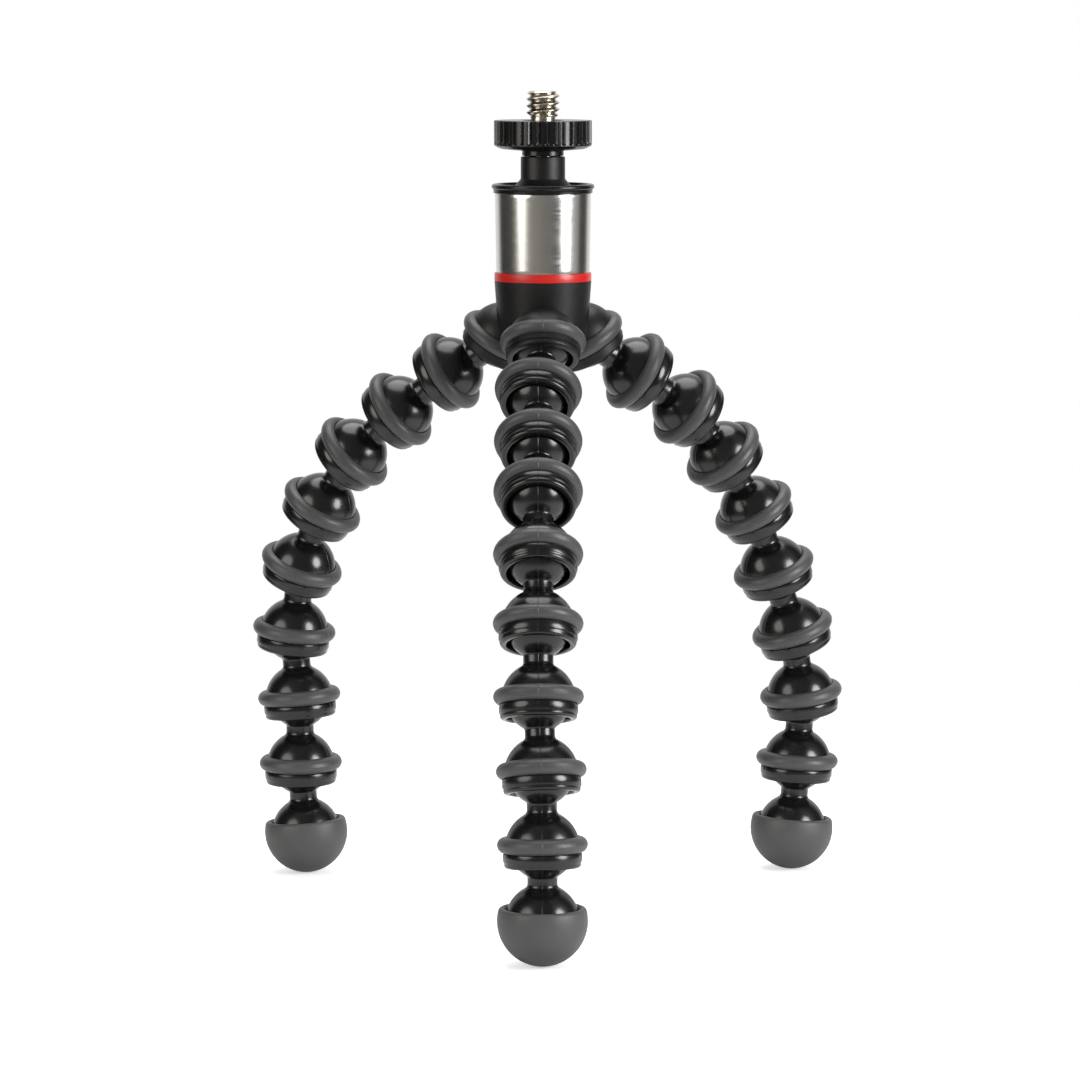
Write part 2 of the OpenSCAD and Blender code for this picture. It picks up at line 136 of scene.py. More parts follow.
def carry(radius: np.ndarray, height: np.ndarray, place: Place, ring: bool = False) -> Surface:
    """Carries a profile round an axis: P(i, j) = (r_ij cos a_j, r_ij sin a_j, z_ij), a_j = 2 pi j / m.

    Args:
        radius: Radius of row i at angle step j, in millimetres, shape (n, m).
        height: Height of the same points, shape (n, m).
        place: Where the piece sits.
        ring: True where the last row joins the first, as on a ring; otherwise a row of zero
            radius at either end closes to one pole point.

    Returns:
        The surface. U runs once round the axis, and V along the profile from 0 to 1.
    """
    n, m = radius.shape
    angle = 2 * np.pi * np.arange(m) / m
    grid = np.stack([radius * np.cos(angle), radius * np.sin(angle), height], axis=-1)
    step = np.linalg.norm(np.diff(np.stack([radius[:, 0], height[:, 0]], -1), axis=0), axis=1)
    v = np.concatenate([[0], np.cumsum(step)])
    v = v / v[-1]
    first_pole = (not ring) and float(np.max(radius[0])) < 1e-6
    last_pole = (not ring) and float(np.max(radius[-1])) < 1e-6
    lo, hi = int(first_pole), n - int(last_pole)
    rows = grid[lo:hi]
    count = hi - lo
    index = np.arange(count * m).reshape(count, m)
    if ring:
        upper, lower = index, np.roll(index, -1, axis=0)
        v_up, v_low = v, np.append(v[1:], 1.0 + (1.0 / n))
    else:
        upper, lower = index[:-1], index[1:]
        v_up, v_low = v[lo:hi - 1], v[lo + 1:hi]
    quads = np.stack([upper, lower, np.roll(lower, -1, axis=1), np.roll(upper, -1, axis=1)], -1)
    u0, u1 = np.arange(m) / m, (np.arange(m) + 1) / m
    shape = (len(v_up), m)
    u_a, u_b = np.broadcast_to(u0, shape), np.broadcast_to(u1, shape)
    v_a, v_b = np.broadcast_to(v_up[:, None], shape), np.broadcast_to(v_low[:, None], shape)
    quad_uv = np.stack([np.stack([u_a, v_a], -1), np.stack([u_a, v_b], -1),
                        np.stack([u_b, v_b], -1), np.stack([u_b, v_a], -1)], axis=2)
    points, tris, tri_uv = [rows.reshape(-1, 3)], [], []
    next_point = count * m
    mid = (u0 + u1) / 2
    if first_pole:
        points.append(grid[0, :1])
        tris.append(np.stack([np.full(m, next_point), index[0], np.roll(index[0], -1)], -1))
        tri_uv.append(np.stack([np.stack([mid, np.full(m, v[0])], -1),
                                np.stack([u0, np.full(m, v[1])], -1),
                                np.stack([u1, np.full(m, v[1])], -1)], axis=1))
        next_point += 1
    if last_pole:
        points.append(grid[-1, :1])
        tris.append(np.stack([index[-1], np.full(m, next_point), np.roll(index[-1], -1)], -1))
        tri_uv.append(np.stack([np.stack([u0, np.full(m, v[-2])], -1),
                                np.stack([mid, np.full(m, v[-1])], -1),
                                np.stack([u1, np.full(m, v[-2])], -1)], axis=1))
    empty_tri, empty_uv = np.zeros((0, 3), int), np.zeros((0, 3, 2))
    return Surface(place.put(np.concatenate(points)), quads.reshape(-1, 4), quad_uv.reshape(-1, 4, 2),
                   np.concatenate(tris) if tris else empty_tri,
                   np.concatenate(tri_uv) if tri_uv else empty_uv)


def turned(profile: np.ndarray, place: Place, steps: int = 72, ring: bool = False) -> Surface:
    """Turns a profile of (radius, height) points round an axis, the same at every angle.

    Args:
        profile: Points in millimetres, listed downwards on the outside and upwards inside.
        place: Where the piece sits.
        steps: Steps round the axis.
        ring: True where the profile is a closed loop.

    Returns:
        The turned surface.
    """
    radius = np.repeat(profile[:, :1], steps, axis=1)
    height = np.repeat(profile[:, 1:], steps, axis=1)
    return carry(radius, height, place, ring)


def arc(cx: float, cz: float, r: float, a0: float, a1: float, n: int) -> np.ndarray:
    """Points on a circle: (cx + r cos a, cz + r sin a), a from a0 to a1 degrees in n points."""
    a = np.radians(np.linspace(a0, a1, n))
    return np.stack([cx + r * np.cos(a), cz + r * np.sin(a)], -1)


def chain(*parts: object) -> np.ndarray:
    """Joins points and runs of points into one profile, dropping repeats."""
    rows = np.concatenate([np.atleast_2d(np.asarray(part, float)) for part in parts])
    keep = np.concatenate([[True], np.linalg.norm(np.diff(rows, axis=0), axis=1) > 1e-6])
    return rows[keep]


def shade_group(name: str, inputs: list[tuple[str, str, float]],
                outputs: list[str]) -> tuple[bpy.types.NodeTree, bpy.types.Node, bpy.types.Node]:
    """Makes an empty shader node group with named sockets.

    Args:
        name: Name of the group.
        inputs: Socket name, socket type and default of each input.
        outputs: Names of the value outputs.

    Returns:
        The group, its input node and its output node.
    """
    group = bpy.data.node_groups.new(name, "ShaderNodeTree")
    for label, kind, default in inputs:
        socket = group.interface.new_socket(label, in_out="INPUT", socket_type=kind)
        if kind == "NodeSocketFloat":
            socket.default_value = default
    for label in outputs:
        group.interface.new_socket(label, in_out="OUTPUT", socket_type="NodeSocketFloat")
    return group, group.nodes.new("NodeGroupInput"), group.nodes.new("NodeGroupOutput")


class Effects:
    """Shader node groups that more than one finish uses, each built once."""

    def __init__(self) -> None:
        """Builds the groups."""
        self.grain = self._grain()
        self.parting = self._parting()
        self.dust = self._dust()

    @staticmethod
    def _grain() -> bpy.types.NodeTree:
        """Fine texture: one small and one broad noise give a roughness and a height."""
        group, source, sink = shade_group("fine_grain", [
            ("Vector", "NodeSocketVector", 0.0), ("Fine", "NodeSocketFloat", 4000.0),
            ("Broad", "NodeSocketFloat", 120.0), ("Rough Low", "NodeSocketFloat", 0.3),
            ("Rough High", "NodeSocketFloat", 0.4)], ["Roughness", "Height"])
        fine = group.nodes.new("ShaderNodeTexNoise")
        fine.inputs["Detail"].default_value = 3.0
        broad = group.nodes.new("ShaderNodeTexNoise")
        broad.inputs["Detail"].default_value = 4.0
        mix = group.nodes.new("ShaderNodeMath")
        mix.operation = "MULTIPLY_ADD"
        mix.inputs[1].default_value = 0.35
        spread = group.nodes.new("ShaderNodeMapRange")
        spread.inputs["From Min"].default_value = 0.45
        spread.inputs["From Max"].default_value = 0.9
        link = group.links.new
        link(source.outputs["Vector"], fine.inputs["Vector"])
        link(source.outputs["Vector"], broad.inputs["Vector"])
        link(source.outputs["Fine"], fine.inputs["Scale"])
        link(source.outputs["Broad"], broad.inputs["Scale"])
        link(fine.outputs[0], mix.inputs[0])
        link(broad.outputs[0], mix.inputs[2])
        link(mix.outputs[0], spread.inputs["Value"])
        link(source.outputs["Rough Low"], spread.inputs["To Min"])
        link(source.outputs["Rough High"], spread.inputs["To Max"])
        link(spread.outputs["Result"], sink.inputs["Roughness"])
        link(fine.outputs[0], sink.inputs["Height"])
        return group

    @staticmethod
    def _parting() -> bpy.types.NodeTree:
        """Mould parting line: a narrow ridge where U is 0 or a half, from the distance to it."""
        group, source, sink = shade_group("parting_line", [
            ("UV", "NodeSocketVector", 0.0), ("Width", "NodeSocketFloat", 0.003)], ["Line"])
        split = group.nodes.new("ShaderNodeSeparateXYZ")
        fold = group.nodes.new("ShaderNodeMath")
        fold.operation = "PINGPONG"
        fold.inputs[1].default_value = 0.25
        near = group.nodes.new("ShaderNodeMapRange")
        near.interpolation_type = "SMOOTHSTEP"
        near.inputs["From Min"].default_value = 0.0
        near.inputs["To Min"].default_value = 1.0
        near.inputs["To Max"].default_value = 0.0
        link = group.links.new
        link(source.outputs["UV"], split.inputs[0])
        link(split.outputs["X"], fold.inputs[0])
        link(fold.outputs[0], near.inputs["Value"])
        link(source.outputs["Width"], near.inputs["From Max"])
        link(near.outputs["Result"], sink.inputs["Line"])
        return group

    @staticmethod
    def _dust() -> bpy.types.NodeTree:
        """Sparse specks: small cells whose nearest point is close, thinned by a broad noise."""
        group, source, sink = shade_group("dust_specks", [
            ("Vector", "NodeSocketVector", 0.0), ("Scale", "NodeSocketFloat", 900.0),
            ("Size", "NodeSocketFloat", 0.12)], ["Mask"])
        cells = group.nodes.new("ShaderNodeTexVoronoi")
        cells.feature = "F1"
        near = group.nodes.new("ShaderNodeMapRange")
        near.inputs["To Min"].default_value = 1.0
        near.inputs["To Max"].default_value = 0.0
        patch = group.nodes.new("ShaderNodeTexNoise")
        patch.inputs["Scale"].default_value = 160.0
        thin = group.nodes.new("ShaderNodeMapRange")
        thin.inputs["From Min"].default_value = 0.5
        thin.inputs["From Max"].default_value = 0.72
        both = group.nodes.new("ShaderNodeMath")
        both.operation = "MULTIPLY"
        link = group.links.new
        link(source.outputs["Vector"], cells.inputs["Vector"])
        link(source.outputs["Vector"], patch.inputs["Vector"])
        link(source.outputs["Scale"], cells.inputs["Scale"])
        link(cells.outputs["Distance"], near.inputs["Value"])
        link(source.outputs["Size"], near.inputs["From Max"])
        link(patch.outputs[0], thin.inputs["Value"])
        link(near.outputs["Result"], both.inputs[0])
        link(thin.outputs["Result"], both.inputs[1])
        link(both.outputs[0], sink.inputs["Mask"])
        return group


@dataclass(frozen=True)
class Finish:
    """One finish: its colours, gloss and fine texture, and the record slot it belongs to."""

    name: str
    slot: str
    base: tuple[float, float, float]
    fleck: tuple[float, float, float]
    rough: tuple[float, float]
    fine: float
    broad: float
    bump_mm: float
    metallic: float = 0.0
    specular: float = 0.5
    parting: float = 0.0
    parting_mm: float = 0.0
    grain: Grain = Grain.EVEN
    dust: float = 0.1

    def build(self, effects: Effects) -> bpy.types.Material:
        """Builds the finish as a node material.

        Args:
            effects: The shared node groups.

        Returns:
            The material.
        """
        material = bpy.data.materials.new(self.name)
        material.use_nodes = True
        tree = material.node_tree
        tree.nodes.clear()
        link = tree.links.new
        sink = tree.nodes.new("ShaderNodeOutputMaterial")
        shader = tree.nodes.new("ShaderNodeBsdfPrincipled")
        shader.inputs["Metallic"].default_value = self.metallic
        shader.inputs["Specular IOR Level"].default_value = self.specular
        link(shader.outputs["BSDF"], sink.inputs["Surface"])
        coords = tree.nodes.new("ShaderNodeTexCoord")
        vector = coords.outputs["Object"]
        if self.grain is Grain.ROUND:
            stretch = tree.nodes.new("ShaderNodeMapping")
            stretch.inputs["Scale"].default_value = (0.12, 0.12, 1.0)
            link(vector, stretch.inputs["Vector"])
            vector = stretch.outputs["Vector"]
        grain = tree.nodes.new("ShaderNodeGroup")
        grain.node_tree = effects.grain
        grain.inputs["Fine"].default_value = self.fine
        grain.inputs["Broad"].default_value = self.broad
        grain.inputs["Rough Low"].default_value = self.rough[0]
        grain.inputs["Rough High"].default_value = self.rough[1]
        link(vector, grain.inputs["Vector"])
        link(grain.outputs["Roughness"], shader.inputs["Roughness"])
        specks = tree.nodes.new("ShaderNodeGroup")
        specks.node_tree = effects.dust
        specks.inputs["Size"].default_value = self.dust
        link(coords.outputs["Object"], specks.inputs["Vector"])
        tint = tree.nodes.new("ShaderNodeMix")
        tint.data_type = "RGBA"
        tint.inputs["A"].default_value = (*self.base, 1.0)
        tint.inputs["B"].default_value = (*self.fleck, 1.0)
        link(specks.outputs["Mask"], tint.inputs["Factor"])
        link(tint.outputs["Result"], shader.inputs["Base Color"])
        bump = tree.nodes.new("ShaderNodeBump")
        bump.inputs["Strength"].default_value = 1.0
        bump.inputs["Distance"].default_value = self.bump_mm * MM
        link(grain.outputs["Height"], bump.inputs["Height"])
        if self.parting:
            seam = tree.nodes.new("ShaderNodeGroup")
            seam.node_tree = effects.parting
            seam.inputs["Width"].default_value = self.parting
            link(coords.outputs["UV"], seam.inputs["UV"])
            ridge = tree.nodes.new("ShaderNodeBump")
            ridge.inputs["Strength"].default_value = 1.0
            ridge.inputs["Distance"].default_value = self.parting_mm * MM
            link(seam.outputs["Line"], ridge.inputs["Height"])
            link(bump.outputs["Normal"], ridge.inputs["Normal"])
            bump = ridge
        link(bump.outputs["Normal"], shader.inputs["Normal"])
        return material


class Workshop:
    """Makes finishes once, and dresses, places and reports pieces."""

    GLOSS_BLACK = Finish("gloss_black_plastic", "gloss_black", (0.0055, 0.0055, 0.006), (0.02, 0.02, 0.02),
                         (0.17, 0.26), 5200.0, 140.0, 0.003, parting=0.0035, parting_mm=0.03)
    SATIN_BLACK = Finish("satin_black_plastic", "satin_black", (0.006, 0.006, 0.0063), (0.03, 0.03, 0.03),
                         (0.36, 0.48), 6500.0, 180.0, 0.012, specular=0.3)
    WHEEL_BLACK = Finish("wheel_black_plastic", "satin_black", (0.004, 0.004, 0.0043), (0.03, 0.03, 0.03),
                         (0.2, 0.3), 5200.0, 160.0, 0.005, specular=0.4)
    GRIP_RUBBER = Finish("grip_rubber", "grip_rubber", (0.055, 0.056, 0.058), (0.08, 0.08, 0.078),
                         (0.36, 0.46), 7000.0, 220.0, 0.012, specular=0.4, parting=0.0022, parting_mm=0.05)
    SHOE_RUBBER = Finish("shoe_rubber", "grip_rubber", (0.062, 0.063, 0.065), (0.09, 0.09, 0.088),
                         (0.42, 0.54), 7000.0, 220.0, 0.015, specular=0.4)
    SLEEVE_STEEL = Finish("sleeve_steel", "sleeve_steel", (0.66, 0.65, 0.625), (0.5, 0.49, 0.47),
                          (0.17, 0.25), 9000.0, 2600.0, 0.0006, metallic=1.0, grain=Grain.ROUND, dust=0.04)
    SCREW_STEEL = Finish("screw_steel", "screw_steel", (0.56, 0.52, 0.45), (0.3, 0.28, 0.24),
                         (0.16, 0.3), 5200.0, 700.0, 0.003, metallic=1.0, dust=0.08)
    RED_ACCENT = Finish("red_accent", "red_accent", (0.52, 0.012, 0.009), (0.42, 0.02, 0.016),
                        (0.26, 0.36), 5200.0, 160.0, 0.004)

    def __init__(self) -> None:
        """Builds the shared effects; finishes follow when they are first asked for."""
        self.effects = Effects()
        self.made: dict[str, bpy.types.Material] = {}

    def material(self, finish: Finish) -> bpy.types.Material:
        """Returns the material of a finish, building it the first time."""
        if finish.name not in self.made:
            self.made[finish.name] = finish.build(self.effects)
        return self.made[finish.name]

    def dress(self, piece: bpy.types.Object, finish: Finish, body: str, *nodes: str) -> bpy.types.Object:
        """Gives a new piece its finish, body and the CAD nodes it stands for.

        Args:
            piece: The new object.
            finish: Its finish.
            body: The CAD body it rides on.
            nodes: The CAD nodes it replaces.

        Returns:
            The same object.
        """
        piece.data.materials.append(self.material(finish))
        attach(piece, body)
        if nodes:
            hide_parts(*nodes)
        LOG.info("%s on %s: %d points", piece.name, body, len(piece.data.vertices))
        return piece

    def paint(self, node: str, finish: Finish) -> None:
        """Gives a CAD node that stays a better material."""
        mesh = frame["nodes"][node].data
        mesh.materials.clear()
        mesh.materials.append(self.material(finish))
        LOG.info("%s keeps its solid", node)


@dataclass
class LinkShape:
    """Sizes of one link, its grip and a foot, in millimetres, as in the part's source."""

    pitch: float = 13.4
    ball_r: float = 5.95
    ball_fillet: float = 0.6
    neck_r: float = 2.75
    fillet: float = 0.9
    dome_r: float = 6.8
    socket_r: float = 6.1
    groove_r: float = 6.55
    grip_rise: float = 0.5
    groove_half: float = 1.55
    bead_r: float = 1.5
    bead_c: float = 6.75
    grip_in: float = 6.6
    skirt_r: float = 7.2
    tier_r: float = 7.0
    tier_drop: float = 2.6
    skirt_drop: float = 3.7
    skirt_round: float = 0.6
    mouth_r: float = 5.79
    throat_drop: float = 2.2
    shoe_in: float = 6.85
    foot_r: float = 8.25
    shoe_rim: float = 1.75
    around: int = 80

    def stem(self) -> np.ndarray:
        """Ball, waist, fillet and dome, from the ball's top to the dome's groove, ball at the origin."""
        fx = self.neck_r + self.fillet
        fy = math.sqrt((self.dome_r + self.fillet) ** 2 - fx ** 2)
        turn = math.degrees(math.atan2(fy, fx))
        ux = self.neck_r + self.ball_fillet
        uy = math.sqrt((self.ball_r + self.ball_fillet) ** 2 - ux ** 2)
        leave = math.degrees(math.atan2(uy, ux))
        ball = arc(0, 0, self.ball_r, 90, -leave, 28)
        ball[0, 0] = 0.0
        under = arc(ux, -uy, self.ball_fillet, 180 - leave, 180, 8)
        blend = arc(fx, fy - self.pitch, self.fillet, 180, 180 + turn, 9)
        return chain(ball, under, blend, arc(0, -self.pitch, self.dome_r, turn, self.seat_deg() + 1.2, 18))

    def seat_deg(self) -> float:
        """Angle on the dome where the grip's groove starts."""
        return math.degrees(math.acos(self.groove_r / self.dome_r))

    def link(self) -> np.ndarray:
        """Whole link: stem, groove, two tier skirt, rolled lip, flared mouth and socket."""
        c = -self.pitch
        g = c + self.grip_rise - self.groove_half
        step, mouth = c - self.tier_drop, c - self.skirt_drop
        edge = arc(0, c, self.dome_r, self.seat_deg() + 1.2, self.seat_deg(), 2)[1]
        lip = arc(self.tier_r - self.skirt_round, c - self.skirt_drop + self.skirt_round,
                  self.skirt_round, 0, -90, 7)
        low = math.degrees(math.asin(self.throat_drop / self.socket_r))
        socket = arc(0, c, self.socket_r, -low, 90, 18)
        socket[-1, 0] = 0.0
        return chain(self.stem(), edge, [self.groove_r, g],
                     [self.skirt_r - 0.18, g], [self.skirt_r - 0.05, g - 0.05],
                     [self.skirt_r, g - 0.18], [self.skirt_r, step + 0.12],
                     [self.skirt_r - 0.05, step + 0.03], [self.tier_r + 0.03, step],
                     [self.tier_r, step - 0.04], lip,
                     [self.mouth_r + 0.22, mouth], [self.mouth_r + 0.06, mouth + 0.05],
                     [self.mouth_r, mouth + 0.18], socket)

    def grip(self) -> np.ndarray:
        """Closed section of a grip: a bead with a flat inside and a fine ridge round its middle."""
        reach = math.degrees(math.acos((self.grip_in - self.bead_c) / self.bead_r))
        a = np.concatenate([np.linspace(reach, 8, 15), np.linspace(5, -5, 9), np.linspace(-8, -reach, 15)])
        r = self.bead_r + 0.03 * np.exp(-((a / 2.4) ** 2)) - 0.03
        turn = np.radians(a)
        return np.stack([self.bead_c + r * np.cos(turn), r * np.sin(turn)], -1)

    def foot_stem(self) -> np.ndarray:
        """Stem of a foot: the same ball and dome, closed below inside the shoe."""
        under = arc(0, -self.pitch, self.dome_r, self.seat_deg(), -90, 20)
        under[-1, 0] = 0.0
        return chain(self.stem(), under)

    def shoe(self) -> np.ndarray:
        """Rubber shoe round the dome's centre: inside up, round the rolled rim, and outside down."""
        mid = (self.shoe_in + self.foot_r) / 2
        half = (self.foot_r - self.shoe_in) / 2
        tilt = math.degrees(math.asin(self.shoe_rim / mid))
        inner = arc(0, 0, self.shoe_in, -90, tilt, 18)
        outer = arc(0, 0, self.foot_r, tilt, -90, 30)
        inner[0, 0] = outer[-1, 0] = 0.0
        rim = arc(mid * math.cos(math.radians(tilt)), self.shoe_rim, half, tilt + 180, tilt, 11)
        return chain(inner, rim, outer)


@dataclass
class LegChain:
    """One leg: its links, grips and foot, hung from ball centre to ball centre."""

    leg: Leg
    shop: Workshop
    foot_slope: float
    shape: LinkShape = field(default_factory=LinkShape)

    def balls(self) -> tuple[np.ndarray, np.ndarray]:
        """Reads the nine ball centres and hinge axes of this leg from the frame's joints.

        Returns:
            Centres in metres, shape (9, 3), and axes, shape (9, 3).
        """
        own = [j for j in frame["joints"] if j["name"].startswith(self.leg.value + "_")]
        own.sort(key=lambda j: int(j["name"].rsplit("_", 1)[1]))
        return np.array([j["pos_m"] for j in own]), np.array([j["axis"] for j in own])

    def places(self) -> list[Place]:
        """Place of each link: ball centre, with Z up the link and X in the leg's own plane."""
        centres, axes = self.balls()
        across = axes[-1]
        slope = math.radians(self.foot_slope)
        out = np.array([across[1], -across[0], 0.0])
        last = math.cos(slope) * out - math.sin(slope) * np.array([0.0, 0.0, 1.0])
        run = np.vstack([np.diff(centres, axis=0), last * self.shape.pitch * MM])
        up = -run / np.linalg.norm(run, axis=1, keepdims=True)
        side = np.cross([0.0, 0.0, 1.0], out)
        x = np.cross(side, up)
        x /= np.linalg.norm(x, axis=1, keepdims=True)
        y = np.cross(up, x)
        return [Place(centres[k], np.stack([x[k], y[k], up[k]], axis=1)) for k in range(len(up))]

    def build(self) -> None:
        """Builds and dresses the links, grips and foot of this leg."""
        name = self.leg.value
        places = self.places()
        shape, dress = self.shape, self.shop.dress
        link = shape.link()
        grip = shape.grip() + [0.0, shape.grip_rise - shape.pitch]
        for k, place in enumerate(places[:-1], start=1):
            body = f"{name}_link_{k}"
            piece = turned(link, place, shape.around).to_object(f"{name}_link_{k}_moulding")
            dress(piece, Workshop.GLOSS_BLACK, body, f"{name}_link_{k}")
            ring = turned(grip, place, shape.around, ring=True).to_object(f"{name}_grip_{k}_ring")
            dress(ring, Workshop.GRIP_RUBBER, body, f"{name}_grip_{k}")
        body, place = f"{name}_foot_link", places[-1]
        stem = turned(shape.foot_stem(), place, shape.around).to_object(f"{name}_foot_stem")
        dress(stem, Workshop.GLOSS_BLACK, body, f"{name}_foot")
        shoe = turned(shape.shoe() + [0.0, -shape.pitch], place, shape.around).to_object(f"{name}_foot_shoe")
        dress(shoe, Workshop.SHOE_RUBBER, body, f"{name}_foot")


@dataclass
class Hub:
    """Hub moulding with its three sockets, whose grips are built here."""

    shop: Workshop
    tilt: float = 58.0
    headings: tuple[tuple[Leg, float], ...] = ((Leg.LEFT, 150.0), (Leg.RIGHT, 30.0), (Leg.FRONT, -90.0))

    def socket(self, leg: Leg, heading: float) -> Place:
        """Place of a hub socket: Z up its axis, X in the leg's own plane."""
        centre = next(j["pos_m"] for j in frame["joints"] if j["name"].startswith(f"{leg.value}_curl_1"))
        a, t = math.radians(heading), math.radians(self.tilt)
        up = np.array([-math.cos(t) * math.cos(a), -math.cos(t) * math.sin(a), math.sin(t)])
        y = np.array([-math.sin(a), math.cos(a), 0.0])
        return Place(np.array(centre), np.stack([np.cross(y, up), y, up], axis=1))

    def build(self) -> None:
        """Paints the moulding and builds the three grips on it."""
        self.shop.paint("hub_body", Workshop.SATIN_BLACK)
        shape = LinkShape()
        for leg, heading in self.headings:
            ring = turned(shape.grip(), self.socket(leg, heading), shape.around, ring=True)
            piece = ring.to_object(f"{leg.value}_socket_ring")
            self.shop.dress(piece, Workshop.GRIP_RUBBER, "hub", "socket_grips")


@dataclass
class Neck:
    """Sleeve, accent band, cap and post, turned round the neck axis."""

    shop: Workshop
    steps: int = 128

    @staticmethod
    def span(node: str) -> tuple[float, float]:
        """Lowest and highest point of a CAD node, in millimetres."""
        low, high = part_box(node)
        return low.z / MM, high.z / MM

    def build(self) -> None:
        """Builds and dresses the neck's pieces."""
        self.sleeve()
        self.band()
        self.cap()
        self.post()

    def sleeve(self) -> None:
        """Thin tube that tapers a little downwards, with eased rims."""
        low, high = self.span("steel_sleeve")
        inner, r_low, r_high, ease = 8.3, 8.95, 9.2, 0.1
        lead, cut, rows = 0.02, 0.03, 26
        rim = np.array([[inner + lead, high], [r_high - ease, high],
                        [r_high - cut, high - cut], [r_high, high - ease]])
        foot = np.array([[r_low, low + ease], [r_low - cut, low + cut],
                         [r_low - ease, low], [inner + lead, low]])
        wall = np.stack([np.linspace(r_high, r_low, rows),
                         np.linspace(high - ease, low + ease, rows)], -1)[1:-1]
        bore = np.array([[inner, low + 0.05], [inner, high - 0.05]])
        profile = chain(rim, wall, foot, bore)
        piece = turned(profile, UPRIGHT, self.steps, ring=True).to_object("sleeve_tube")
        self.shop.dress(piece, Workshop.SLEEVE_STEEL, "hub", "steel_sleeve")

    def band(self) -> None:
        """Plain ring with small rounded edges."""
        low, high = self.span("accent_band")
        inner, outer, ease = 8.3, 9.3, 0.14
        profile = chain([inner, high], arc(outer - ease, high - ease, ease, 90, 0, 5),
                        arc(outer - ease, low + ease, ease, 0, -90, 5), [inner, low])
        piece = turned(profile, UPRIGHT, self.steps, ring=True).to_object("accent_ring")
        self.shop.dress(piece, Workshop.RED_ACCENT, "hub", "accent_band")

    def cap(self) -> None:
        """Cap with a dished top, a bead over a smaller collar, and a skirt inside the hub."""
        low, high = self.span("head_cap")
        seat = high - 1.75
        hole, plug, collar, flange, rim = 5.65, 6.95, 9.5, 9.85, 8.75
        dish, bead_r = high - 0.6, 0.525
        bead = arc(flange - bead_r, high - bead_r, bead_r, 90, -90, 15)
        profile = chain([hole, dish - 0.06], [hole + 0.08, dish], [rim - 0.3, dish],
                        [rim - 0.1, dish + 0.06], [rim, dish + 0.2], [rim + 0.06, high - 0.14],
                        [rim + 0.2, high - 0.02], [rim + 0.36, high],
                        bead, [collar + 0.02, high - 1.05], [collar, high - 1.1], [collar, seat + 0.08],
                        [collar - 0.08, seat], [plug, seat], [plug, low], [hole, low])
        piece = turned(profile, UPRIGHT, self.steps, ring=True).to_object("cap_moulding")
        self.shop.dress(piece, Workshop.WHEEL_BLACK, "hub", "head_cap")

    def post(self) -> None:
        """Post with its cone, flange under the cap and bore for the shank."""
        low, high = self.span("head_post")
        base, mid, flange, bore, well = 5.55, 4.25, 6.95, 2.05, 3.4
        cone_low = high - 5.7
        profile = chain([bore, high], [mid - 0.2, high], [mid - 0.05, high - 0.06], [mid, high - 0.22],
                        [mid, cone_low + 1.62], [mid + 0.03, cone_low + 1.48], [mid + 0.12, cone_low + 1.3],
                        [base - 0.2, cone_low + 0.2], [base, cone_low], [base, low + 1.5],
                        [flange, low + 1.5], [flange, low], [well, low], [well, low + 0.95], [bore, low + 0.95])
        piece = turned(profile, UPRIGHT, 96, ring=True).to_object("post_moulding")
        self.shop.dress(piece, Workshop.SATIN_BLACK, "hub", "head_post")


